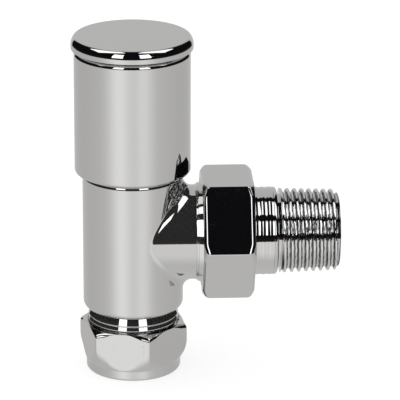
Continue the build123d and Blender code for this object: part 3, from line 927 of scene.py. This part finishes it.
@dataclass
class Handwheel(Assembly):
    """The barrel that the hand turns, its cap and the screw under the cap. Sizes in millimetres."""

    radius: float = 14.4
    wall: float = 1.6
    bottom: float = 51.9
    top: float = 83.3
    top_rounding: float = 1.2
    foot_rounding: float = 0.9
    recess_radius: float = 11.6
    hub_radius: float = 6.5
    spline_radius: float = 4.06
    screw_hole_radius: float = 2.15
    ribs: int = 6

    def build(self) -> None:
        """Build all pieces of the handwheel."""
        levels = Levels.measured()
        self.build_barrel(levels)
        self.build_ribs(levels)
        self.build_cap()
        self.build_screw(levels)

    def build_barrel(self, levels: Levels) -> None:
        """Build the barrel with its deck, hub and recess."""
        inner = self.radius - self.wall
        outline = rounded([
            (self.radius, self.bottom, self.foot_rounding), (self.radius, self.top, self.top_rounding),
            (self.recess_radius, self.top, 0.2), (self.recess_radius, levels.seat, 0.15),
            (self.screw_hole_radius, levels.seat, 0.15), (self.screw_hole_radius, levels.hub_top),
            (self.spline_radius, levels.hub_top), (self.spline_radius, levels.hub_bottom, 0.2),
            (self.hub_radius, levels.hub_bottom, 0.3), (self.hub_radius, levels.deck, 0.4),
            (inner, levels.deck, 0.4), (inner, self.bottom, 0.25)], 7)
        self.turned("barrel", outline, CHROME, "handwheel", "handwheel_barrel")

    def build_ribs(self, levels: Levels) -> None:
        """Build the ribs between the hub and the wall, with their ends sunk in the metal."""
        rib = new_object("rib", box_mesh("rib", (self.hub_radius - 0.2, self.radius - self.wall + 0.3),
                                         (-0.6, 0.6), (levels.deck - 4.5, levels.deck + 0.3)))
        item = RepeatFlow().run("barrel_ribs", {"Piece": rib, "Count": self.ribs,
                                                "Material": CHROME.dress()})
        bpy.data.objects.remove(rib)
        weld(item.data)
        polish(item.data)
        self.keep(item, CHROME, "handwheel", "handwheel_barrel")

    def build_cap(self) -> None:
        """Build the cap: a disc with a crowned side over a recessed neck and a skirt."""
        base, side_top, radius, crown = 83.65, 84.74, 15.1, 41.0
        large, small = 2.7, 0.8
        turn, inset = math.radians(crown), large - small
        edge = (radius - large + inset * math.cos(turn), side_top + inset * math.sin(turn))
        outline = arc((12.4, side_top), large, 0.0, crown, 12) + arc(edge, small, crown, 90.0, 10)
        outline += [(0.0, edge[1] + small), (0.0, base)]
        outline += rounded([(10.45, base, 0.2), (10.45, 78.95, 0.15), (11.55, 78.95, 0.15),
                            (11.55, 83.35, 0.1), (13.2, 83.35, 0.1), (13.2, base, 0.12),
                            (radius, base, 0.16), (radius, side_top - 0.1)])
        self.turned("cap", outline, CHROME, "cap", "handwheel_cap")

    def build_screw(self, levels: Levels) -> None:
        """Build the screw that holds the barrel on the spindle."""
        end, seat, top = levels.seat - 9.0, levels.seat, levels.screw_top
        outline = rounded([(0.0, end), (2.0, end, 0.3), (2.0, seat, 0.1), (3.6, seat, 0.1),
                           (3.6, top, 0.8), (0.0, top)])
        slot = box_mesh("slot_cutter", (-4.1, 4.1), (-0.45, 0.45), (top - 0.7, top + 0.7))
        self.turned("wheel_screw", outline, STEEL, "handwheel", "handwheel_screw", cutters=[slot])


def strip(here: Sequence[int], after: Sequence[int]) -> list[tuple[int, ...]]:
    """Return the faces between two rings of points."""
    turns = [(step, (step + 1) % len(here)) for step in range(len(here))]
    return [(here[step], here[turn], after[turn], after[step]) for step, turn in turns]


@dataclass
class ValveBody(Assembly):
    """The upright body with its side spigot, ridged collar and both threads. Sizes in millimetres.

    The skin around the seam with the spigot is a patch: it runs from a rim on the upright cylinder,
    half a turn wide, to the ring where a ball rolling along the seam touches the cylinder. The blend
    is what that ball leaves.
    """

    # Rows of faces in the patch and in the blend, and places at which the seam is looked up
    PATCH_STEPS = 10
    BLEND_STEPS = 12
    SEAM_STEPS = 2881

    # Steps in a millimetre to which a point's place is rounded, to find it again
    KEY_STEPS = 500

    # Where the spigot's plain part, with its exact normals, ends along the tail
    PLAIN_END = 15.5

    # Cosine of the largest angle between a face and a known normal that it takes
    SAME_SIDE = 0.94

    radius: float = 12.5
    foot: float = 5.5
    spigot_radius: float = 11.85
    spigot_end: float = 24.5
    blend: float = 2.8
    patch_low: float = 19.2
    patch_high: float = 50.4
    patch_rows: int = 32
    skin: dict[tuple[int, ...], Vector] = field(default_factory=dict)

    def build(self) -> None:
        """Build the body and its two threads."""
        item = new_object("body", self.shell())
        cut(item, self.waterways())
        polish(item.data)
        self.use_exact_normals(item.data)
        self.keep(item, CHROME_BODY, "valve_body")
        for thread, finish in (
            (Thread("body_thread", 11.0, self.foot, 7.4, 1.5, 0.85, run_in=0.5, run_out=0.6, lead=0.0),
             CHROME_UPRIGHT_THREAD),
            (Thread("spigot_thread", 13.2, 17.2, 7.3, 1.6, 0.9, run_in=1.3, lead=0.7, lay=Lay.TAIL),
             CHROME_THREAD),
        ):
            self.keep(thread.build(self.flow, finish), finish, "valve_body")

    def seam_circle(self, turn: float) -> tuple[Vector, Vector, Vector]:
        """Return the blend's ball centre at a turn about the tail, and the ways to both cylinders."""
        reach = self.spigot_radius + self.blend
        y, z = reach * math.cos(turn), reach * math.sin(turn)
        x = math.sqrt((self.radius + self.blend) ** 2 - y * y)
        upright = Vector((x, y, 0.0)) / (self.radius + self.blend)
        side = Vector((0.0, math.cos(turn), math.sin(turn)))
        return Vector((x, y, z + TAIL_HEIGHT)), upright, side

    def way(self, angle: float, height: float) -> float:
        """Return the direction from the tail's axis to a place on the unrolled cylinder."""
        return math.atan2(height - TAIL_HEIGHT, self.radius * angle)

    def rim(self) -> tuple[Outline, list[float]]:
        """Return the patch's outer rim as (angle, height) points, and the seam turn that faces each."""
        half = SEGMENTS // 2
        sides = [math.pi / 2 - math.pi * step / half for step in range(half)]
        heights = np.linspace(self.patch_low, self.patch_high, self.patch_rows + 1)
        rim = [(angle, self.patch_high) for angle in sides]
        rim += [(-math.pi / 2, height) for height in heights[:0:-1]]
        rim += [(-angle, self.patch_low) for angle in sides]
        rim += [(math.pi / 2, height) for height in heights[:-1]]
        turns = np.linspace(-math.pi, math.pi, self.SEAM_STEPS + 1)[:-1] + math.pi / self.SEAM_STEPS
        seams = [self.seam_circle(turn) for turn in turns]
        ways = np.unwrap([self.way(math.atan2(upright.y, upright.x), centre.z)
                          for centre, upright, _ in seams])
        return rim, [float(np.interp(self.way(*spot), ways, turns)) for spot in rim]

    def add_point(self, points: list[Vector], spot: Vector, way: Vector) -> int:
        """Add a point of the skin with its exact normal, and return its number."""
        points.append(spot)
        self.skin[self.key(spot)] = way
        return len(points) - 1

    def key(self, spot: Vector) -> tuple[int, ...]:
        """Return a place rounded to two micrometres."""
        return tuple(round(part * self.KEY_STEPS) for part in spot)

    def shell(self) -> Mesh:
        """Build the closed outer skin: cylinder, patch around the seam, blend and spigot."""
        points: list[Vector] = []
        faces: list[tuple[int, ...]] = []
        self.add_cylinder(points, faces)
        rim, turns = self.rim()
        rows = [[self.on_cylinder(points, angle, height) for angle, height in rim]]
        seams = [self.seam_circle(turn) for turn in turns]
        inner = [(math.atan2(upright.y, upright.x), centre.z) for centre, upright, _ in seams]
        for share in np.arange(1, self.PATCH_STEPS + 1) / self.PATCH_STEPS:
            rows.append([self.on_cylinder(points, a + (c - a) * share, b + (d - b) * share)
                         for (a, b), (c, d) in zip(rim, inner)])
        for share in np.arange(1, self.BLEND_STEPS + 1) / self.BLEND_STEPS:
            rows.append([self.on_blend(points, seam, share) for seam in seams])
        for place, radius in ((15.42, self.spigot_radius), (15.52, 11.97), (15.92, 12.08), (16.0, 12.3),
                              (17.3, 12.65), (17.35, 12.3), (24.1, 12.0), (self.spigot_end, 11.6),
                              (self.spigot_end, 6.0)):
            rows.append([self.on_spigot(points, turn, place, radius) for turn in turns])
        for here, after in zip(rows, rows[1:]):
            faces += strip(here, after)
        pole = self.add_point(points, Vector((self.spigot_end, 0.0, TAIL_HEIGHT)), Vector((1.0, 0.0, 0.0)))
        last = rows[-1]
        faces += [(last[index], last[(index + 1) % len(last)], pole) for index in range(len(last))]
        mesh = mesh_from("body", np.array(points), faces)
        weld(mesh)
        return mesh

    def add_cylinder(self, points: list[Vector], faces: list[tuple[int, ...]]) -> None:
        """Add the body's turned skin, without the half ring that the patch fills."""
        outline = rounded([(0.0, self.foot), (9.9, self.foot, 0.1), (9.9, 12.9), (10.9, 12.95),
                           (11.25, 13.1, 0.1), (11.25, 13.3, 0.08), (10.9, 14.35, 0.25),
                           (11.25, 14.45, 0.08), (11.25, 14.6, 0.08), (10.5, 16.35, 0.2),
                           (self.radius, 16.35, 2.3), (self.radius, self.patch_low)], 9)
        first = len(outline) - 1
        heights = np.linspace(self.patch_low, self.patch_high, self.patch_rows + 1)[1:]
        outline += [(self.radius, float(height)) for height in heights]
        outline += rounded([(self.radius, 50.5), (self.radius, 52.1, 1.5), (0.0, 52.1)], 12)[1:]
        angles = [TURN * step / SEGMENTS for step in range(SEGMENTS)]
        rings = []
        for radius, height in outline:
            rings.append(range(len(points), len(points) + SEGMENTS))
            points += [Vector((radius * math.cos(angle), radius * math.sin(angle), height))
                       for angle in angles]
        quarter = SEGMENTS // 4
        for index, (here, after) in enumerate(zip(rings, rings[1:])):
            ring = strip(here, after)
            faces += ring[quarter:3 * quarter] if 0 <= index - first < self.patch_rows else ring

    def on_cylinder(self, points: list[Vector], angle: float, height: float) -> int:
        """Add a point of the upright cylinder."""
        way = Vector((math.cos(angle), math.sin(angle), 0.0))
        return self.add_point(points, Vector((way.x * self.radius, way.y * self.radius, height)), way)

    def on_blend(self, points: list[Vector], seam: tuple[Vector, Vector, Vector], share: float) -> int:
        """Add a point of the blend between the upright cylinder and the spigot."""
        centre, upright, side = seam
        way = upright.slerp(side, share)
        return self.add_point(points, centre - way * self.blend, way)

    def on_spigot(self, points: list[Vector], turn: float, place: float, radius: float) -> int:
        """Add a point of the spigot."""
        spot = Vector((place, radius * math.cos(turn), TAIL_HEIGHT + radius * math.sin(turn)))
        points.append(spot)
        if place <= self.PLAIN_END:
            self.skin[self.key(spot)] = Vector((0.0, math.cos(turn), math.sin(turn)))
        return len(points) - 1

    def waterways(self) -> list[Mesh]:
        """Build the cutters of the socket, seat, chamber and outlet."""
        upright = [(0.0, 5.0), (9.3, 5.0), (9.0, self.foot), (7.6, 8.5), (7.6, 17.0), (6.0, 17.0),
                   (6.0, 27.0), (7.2, 27.0), (7.2, 26.0), (9.0, 26.0), (9.0, 44.2), (9.8, 44.2),
                   (9.8, 50.4), (10.9, 50.4), (10.9, 52.6), (0.0, 52.6)]
        outlet = [(0.0, 0.0), (6.75, 0.0), (6.75, 21.5), (9.2, self.spigot_end), (9.6, 25.0), (0.0, 25.0)]
        return [lathe("waterway", upright), lathe("outlet", outlet, Lay.TAIL)]

    def use_exact_normals(self, mesh: Mesh) -> None:
        """Give the skin's points the normals of the true surfaces, where they were built from one."""
        normals = [Vector(corner.vector) for corner in mesh.corner_normals]
        found = [self.skin.get(self.key(vert.co / MM)) for vert in mesh.vertices]
        for polygon in mesh.polygons:
            for loop in polygon.loop_indices:
                way = found[mesh.loops[loop].vertex_index]
                if way is not None and way.dot(polygon.normal) > self.SAME_SIDE:
                    normals[loop] = way
        mesh.normals_split_custom_set([tuple(normal) for normal in normals])


@dataclass
class PipeEnd(Assembly):
    """The compression nut and the olive that it squeezes. Sizes in millimetres."""

    section: Hexagon = Hexagon(24.0, 15.0, 0.55)
    height: float = 12.5
    ring: float = 11.85
    ring_height: float = 2.6
    foot_slope: float = 1.7
    top_flat: float = 12.1
    top_slope: float = 25.0

    def build(self) -> None:
        """Build the nut and the olive."""
        self.nut("pipe_nut", self.slice_at, self.section, CHROME_NUT, "compression_nut")
        outline = rounded([(7.55, 2.5, 0.15), (7.9, 2.5, 0.15), (8.45, 4.1, 1.0), (8.45, 6.1, 1.0),
                           (7.9, 7.7, 0.15), (7.55, 7.7, 0.15)], 6)
        self.turned("squeeze_ring", outline, BRASS, "olive")

    def slice_at(self, angle: float) -> Outline:
        """Return the nut's outline at an angle."""
        radius = self.section.radius(angle)
        foot = self.ring_height + (radius - self.ring) * self.foot_slope
        top = self.height - max(radius - self.top_flat, 0.0) * math.tan(math.radians(self.top_slope))
        flat = min(radius, self.top_flat) - 0.02
        return rounded([
            (self.ring, 0.0, 0.85), (self.ring, self.ring_height, 0.12), (radius, foot, 8.0),
            (radius, top, 1.3), (flat, self.height, 0.15), (11.55, self.height, 0.12),
            (11.05, self.height - 0.5, 0.1), (11.05, 4.6), (8.68, 4.6), (7.97, 2.35), (7.7, 2.35),
            (7.7, 0.3, 0.1), (8.0, 0.0, 0.1)], 6)


@dataclass
class UnionEnd(Assembly):
    """The union nut and the radiator tail that it holds. Sizes in millimetres along the tail."""

    section: Hexagon = Hexagon(29.5, 0.5, 0.6)
    start: float = 17.0
    end: float = 29.9
    face: float = 15.3
    slope: float = 30.0
    shank: float = 11.0
    tail_end: float = 51.4
    pitch: float = 1.814
    key: Hexagon = Hexagon(12.7, 30.0, 0.2)
    key_start: float = 26.0
    key_end: float = 34.0

    def build(self) -> None:
        """Build the nut, the tail and the tail's thread."""
        self.nut("tail_nut", self.slice_at, self.section, CHROME, "union_nut", Lay.TAIL)
        self.build_tail()

    def slice_at(self, angle: float) -> Outline:
        """Return the nut's outline at an angle."""
        radius = self.section.radius(angle)
        face = min(radius - 0.7, self.face)
        drop = (radius - face) * math.tan(math.radians(self.slope))
        return rounded([
            (13.75, self.start, 0.12), (face, self.start, 0.3), (radius, self.start + drop, 1.6),
            (radius, self.end - drop, 1.6), (face, self.end, 0.3), (11.15, self.end, 0.2),
            (11.15, 26.3), (13.25, 26.3), (13.25, self.start + 0.5, 0.1)], 6)

    def build_tail(self) -> None:
        """Build the tail with its tool-marked shank and key socket, and the thread around its end."""
        marks = ((0.045, 1.75), (0.006, 0.61))
        shank = [(self.shank - sum(depth * (1.0 + math.cos(place * TURN / pitch)) for depth, pitch in marks),
                  place) for place in np.linspace(27.0, 34.8, 120)]
        outline = rounded([(7.0, 23.35, 0.1), (8.1, 23.35, 0.15), (9.19, 24.55, 0.1), (12.9, 24.55, 0.2),
                           (12.9, 26.15, 0.2), (self.shank, 26.15, 0.1), (self.shank, 26.6)], 4) + shank
        outline += rounded([(self.shank, 34.9), (self.shank, 35.85, 0.85), (9.2, 35.85, 0.15),
                            (8.9, self.tail_end - 0.4), (8.9, self.tail_end, 0.1),
                            (7.7, self.tail_end, 0.1), (7.2, self.tail_end - 0.5, 0.1),
                            (7.2, self.key_end), (0.0, self.key_end), (0.0, self.key_start),
                            (7.0, self.key_start)], 4)
        socket = prism("key", self.key, self.key_start - 0.1, self.key_end + 0.1, Lay.TAIL)
        self.turned("tail", outline, CHROME, "tailpiece", lay=Lay.TAIL, cutters=[socket])
        thread = Thread("tail_thread", 10.613, 36.6, 14.6, self.pitch, 0.95, 1 / 32, 0.30, 0.26,
                        run_in=0.6, run_out=0.3, lead=0.9, lay=Lay.TAIL)
        self.keep(thread.build(self.flow, CHROME_THREAD), CHROME_THREAD, "tailpiece")


INNER_FINISHES: dict[str, Finish] = {
    "bonnet": BRASS, "bonnet_o_ring": RUBBER, "gland_packing": PACKING, "gland_nut": BRASS,
    "thrust_washer": PACKING, "spindle": BRASS, "spindle_o_ring_lower": RUBBER,
    "spindle_o_ring_upper": RUBBER, "spindle_circlip": STEEL, "valve_plug": BRASS,
    "seat_washer": RUBBER, "seat_washer_screw": STEEL,
}


def dress_inner_nodes(nodes: dict[str, Item]) -> None:
    """Give the CAD nodes that stay hidden inside the valve their finishes."""
    for name, finish in INNER_FINISHES.items():
        wear(nodes[name].data, finish)
        LOG.info("%s keeps its CAD mesh", name)


@dataclass(frozen=True)
class Window:
    """A range with soft ends."""

    low: float
    high: float
    soft: float

    def over(self, value: Term) -> Term:
        """Return 1 where a value lies in the range and 0 outside it."""
        inputs = {"Value": value, "Low": self.low, "High": self.high, "Soft": self.soft}
        return value.recipe.add("ShaderNodeGroup", inputs, node_tree=soft_window())


@dataclass(frozen=True)
class Room:
    """What surrounds the object in reflections. Angles are in degrees, to the side and upwards."""

    # Soft boxes on both sides of the camera
    box_side: Window = Window(16.0, 37.0, 0.6)
    box_height: Window = Window(6.0, 41.5, 0.6)
    box_light: float = 2.3

    # Panels overhead, by the angle over the camera's way and by the direction's sideways part
    panel_over: Window = Window(62.0, 103.0, 1.0)
    panel_side: Window = Window(0.16, 0.8, 0.02)
    panel_light: float = 1.9

    # The wall behind the object
    wall_side: Window = Window(148.0, 190.0, 6.0)
    wall_height: Window = Window(-14.0, 62.0, 2.0)
    wall_light: float = 0.69

    # The pale floor: its light far off, in two patches under the boxes, and straight below
    floor_height: Window = Window(-95.0, -11.0, 0.8)
    floor_light: float = 0.64
    floor_patches: tuple[tuple[float, float, float], ...] = (
        (0.0, 85.0, 0.17), (-25.0, 23.0, 0.40), (24.0, 19.0, 0.27))
    nadir_light: float = 0.76
    nadir_heights: tuple[float, float] = (-72.0, -36.0)

    # The dark of the room, below and above the eye's level, and what blue keeps of the light
    dark_low: tuple[float, float, float] = (0.020, 0.0125, 0.009)
    dark_high: tuple[float, float, float] = (0.006, 0.0062, 0.0075)
    dark_heights: tuple[float, float] = (-6.0, 3.0)
    blue: float = 0.985

    def radiance(self, recipe: Recipe, x: Term, y: Term, z: Term) -> Term:
        """Return the radiance of what surrounds the object in a direction.

        Args:
            recipe: The world's recipe.
            x: The direction's part to the camera's right.
            y: Its part away from the camera.
            z: Its part upwards.

        Returns:
            A colour: dark room, two soft boxes, panels overhead, back wall and pale floor.
        """
        front = y * -1.0
        height = recipe.math("DEGREES", recipe.math("ARCSINE", z))
        side = recipe.math("DEGREES", recipe.math("ARCTAN2", x, front))
        over = recipe.math("DEGREES", recipe.math("ARCTAN2", z, front))
        off = recipe.math("ABSOLUTE", side)
        boxes = self.box_side.over(off) * self.box_height.over(height)
        panels = self.panel_over.over(over) * self.panel_side.over(recipe.math("ABSOLUTE", x))
        wall = self.wall_height.over(height) * self.wall_side.over(off)
        bright = recipe.math("MULTIPLY_ADD", panels, self.panel_light, boxes * self.box_light)
        bright = recipe.math("MAXIMUM", bright, wall * self.wall_light)
        floor = self.floor_height.over(height)
        bright = bright * (1.0 - floor) + floor * self.ground(recipe, side, height)
        dark = recipe.mix(recipe.span(height, *self.dark_heights), (*self.dark_low, 1.0),
                          (*self.dark_high, 1.0))
        lit = recipe.add("ShaderNodeCombineColor", {0: bright, 1: bright, 2: bright * self.blue})
        return recipe.mix(1.0, dark, lit, blend_type="ADD")

    def ground(self, recipe: Recipe, side: Term, height: Term) -> Term:
        """Return the floor's light, brighter in patches and even straight below."""
        ground: float | Term = self.floor_light
        for centre, width, light in self.floor_patches:
            off = (side - centre) / width
            bell = recipe.math("EXPONENT", off * off * -1.0)
            ground = recipe.math("MULTIPLY_ADD", bell, light, ground)
        far = recipe.span(height, *self.nadir_heights)
        return ground * far + (1.0 - far) * self.nadir_light


@dataclass
class Studio:
    """The pale floor, the soft light and the camera. Lengths are in metres and angles in degrees."""

    target: tuple[float, float, float] = (0.01675, 0.0, 0.0438)
    distance: float = 0.8
    azimuth: float = -3.0
    elevation: float = 19.3
    roll: float = 0.16
    lens: float = 288.8
    room: Room = Room()
    floor_glow: float = 0.78
    soft_light: float = 0.95

    def build(self) -> None:
        """Build the floor, the world and the camera."""
        self.build_floor()
        self.build_world()
        self.build_camera()

    def build_floor(self) -> None:
        """Build a pale floor that shows only the object's soft shadow."""
        size = 3.0 / MM
        corners = [(-size, -size, -0.02), (size, -size, -0.02), (size, size, -0.02), (-size, size, -0.02)]
        floor = new_object("floor", mesh_from("floor", np.array(corners), [(0, 1, 2, 3)]))
        material = bpy.data.materials.new("floor")
        material.use_nodes = True
        recipe = Recipe(material.node_tree)
        seen = recipe.add("ShaderNodeLightPath", {}, "Is Camera Ray")
        recipe.feed(material.node_tree.nodes["Principled BSDF"], {
            "Base Color": (0.30, 0.30, 0.30, 1.0), "Roughness": 1.0, "Specular IOR Level": 0.0,
            "Emission Color": (1.0, 1.0, 1.0, 1.0), "Emission Strength": seen * self.floor_glow})
        floor.data.materials.append(material)
        floor.visible_glossy = False

    def build_world(self) -> None:
        """Build the surroundings: white to the camera, even for soft light, a room in reflections."""
        world = bpy.data.worlds.new("studio")
        bpy.context.scene.world = world
        world.use_nodes = True
        world.node_tree.nodes.clear()
        recipe = Recipe(world.node_tree)
        way = recipe.add("ShaderNodeTexCoord", {}, "Generated")
        turned = recipe.add("ShaderNodeVectorRotate", {"Vector": way, "Angle": math.radians(-self.azimuth)},
                            rotation_type="Z_AXIS")
        mirror, soft, white = (
            recipe.add("ShaderNodeBackground", {"Color": colour, "Strength": strength})
            for colour, strength in ((self.room.radiance(recipe, *turned.parts()), 1.0),
                                     ((1.0, 1.0, 1.0, 1.0), self.soft_light), ((1.0, 1.0, 1.0, 1.0), 1.0)))
        seen, glossy, through = recipe.outputs(
            "ShaderNodeLightPath", {}, ("Is Camera Ray", "Is Glossy Ray", "Is Transmission Ray"))
        shine = recipe.math("MAXIMUM", glossy, through)
        first = recipe.add("ShaderNodeMixShader", {0: shine, 1: soft, 2: mirror})
        last = recipe.add("ShaderNodeMixShader", {0: seen, 1: first, 2: white})
        recipe.outputs("ShaderNodeOutputWorld", {0: last}, ())

    def build_camera(self) -> None:
        """Place the camera at the photo's angle."""
        camera = bpy.data.cameras.new("camera")
        camera.lens, camera.sensor_width, camera.clip_start = self.lens, 36.0, 0.01
        item = bpy.data.objects.new("camera", camera)
        bpy.context.scene.collection.objects.link(item)
        a, e = math.radians(self.azimuth), math.radians(self.elevation)
        back = Vector((math.sin(a) * math.cos(e), -math.cos(a) * math.cos(e), math.sin(e)))
        item.location = Vector(self.target) + back * self.distance
        item.rotation_mode = "QUATERNION"
        item.rotation_quaternion = back.to_track_quat("Z", "Y") @ Matrix.Rotation(
            math.radians(self.roll), 3, "Z").to_quaternion()
        bpy.context.scene.camera = item


def main() -> None:
    """Build the valve's looks and the studio around it."""
    logging.basicConfig(level=logging.INFO, format="%(name)s: %(message)s")
    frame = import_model()
    flow = ThreadFlow()
    for assembly in (Handwheel(flow), ValveBody(flow), PipeEnd(flow), UnionEnd(flow)):
        assembly.build()
        for item in assembly.pieces:
            LOG.info("%s: %d faces", item.name, len(item.data.polygons))
    dress_inner_nodes(frame["nodes"])
    Studio().build()
    bpy.context.scene.view_settings.view_transform = "Standard"


if __name__ == "__main__":
    main()
